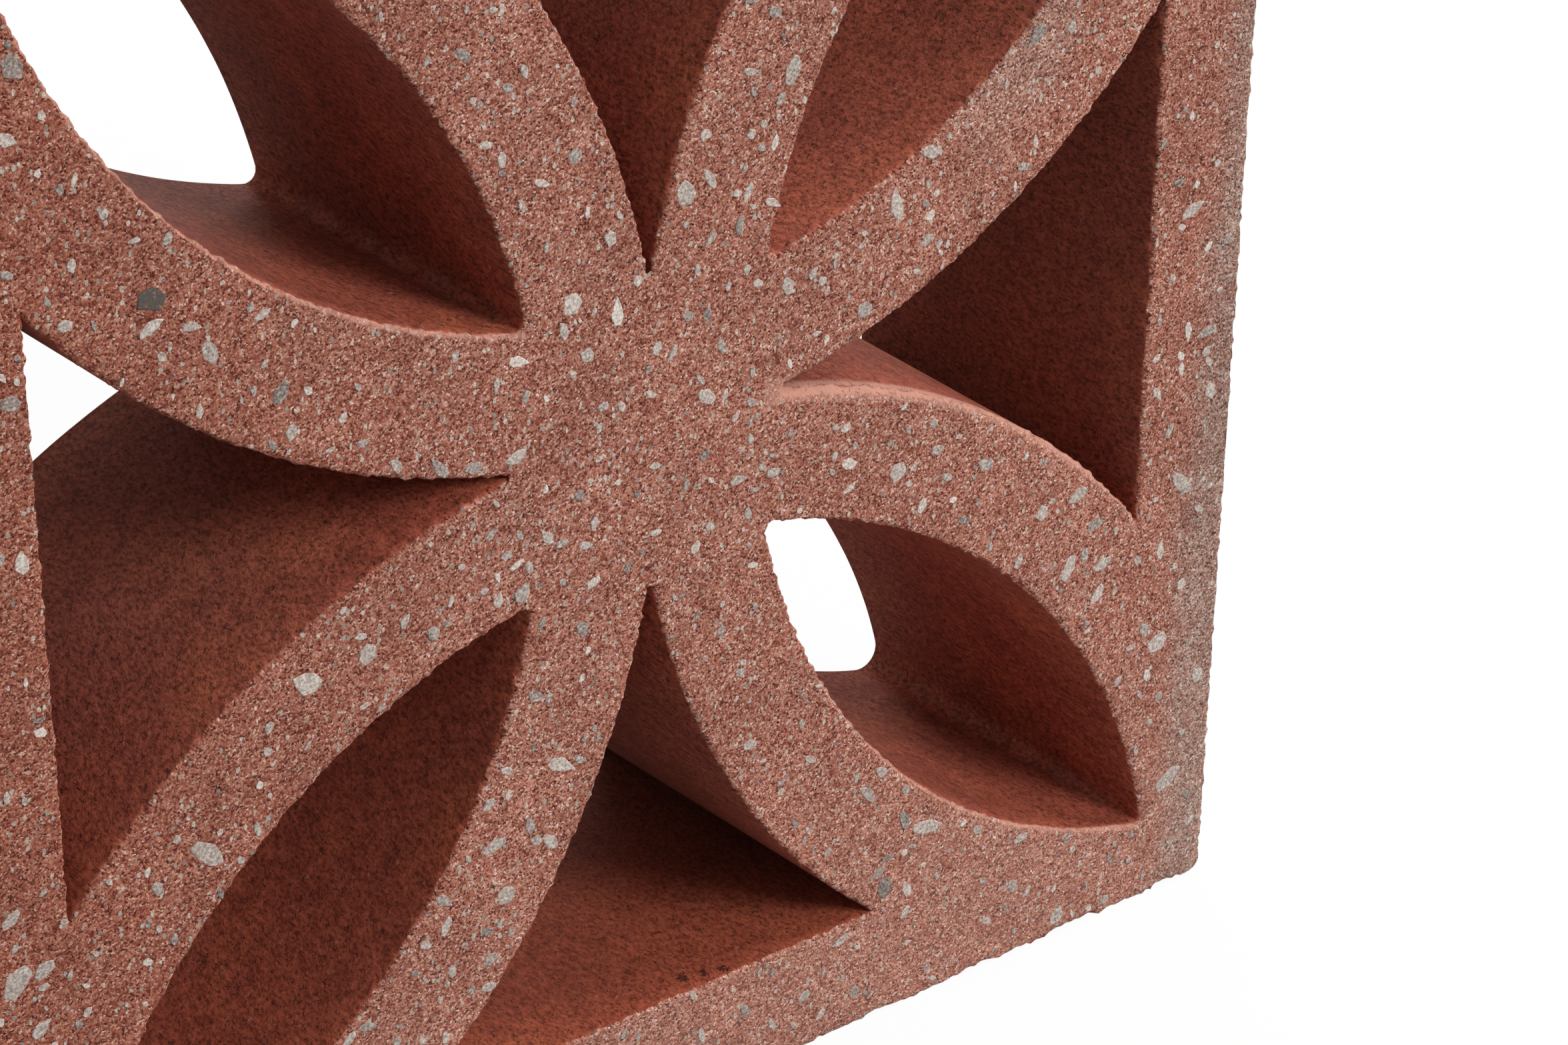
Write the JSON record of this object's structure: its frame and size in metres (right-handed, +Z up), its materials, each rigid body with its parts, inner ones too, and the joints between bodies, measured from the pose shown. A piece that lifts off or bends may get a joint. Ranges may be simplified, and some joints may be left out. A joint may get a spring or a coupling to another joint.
{
  "type": "breeze block",
  "caption": "Square cast concrete screen block with curved ribs that leave petal-shaped openings on its diagonals and smaller openings at its sides.",
  "frame": {"origin": "middle of the bottom bed face, halfway between the front and rear faces", "axes": "+Z up through the height of the block as it stands in a wall, -Y out of the front face, +X to the right seen from the front"},
  "size_m": [0.29, 0.084, 0.29],
  "materials": {
    "red_concrete": "red-brown pigmented concrete, sandy with grey stone chips on the front face, smooth cast skin in the openings"
  },
  "bodies": {
    "root": {"breeze_block": "red_concrete"}
  },
  "joints": []
}
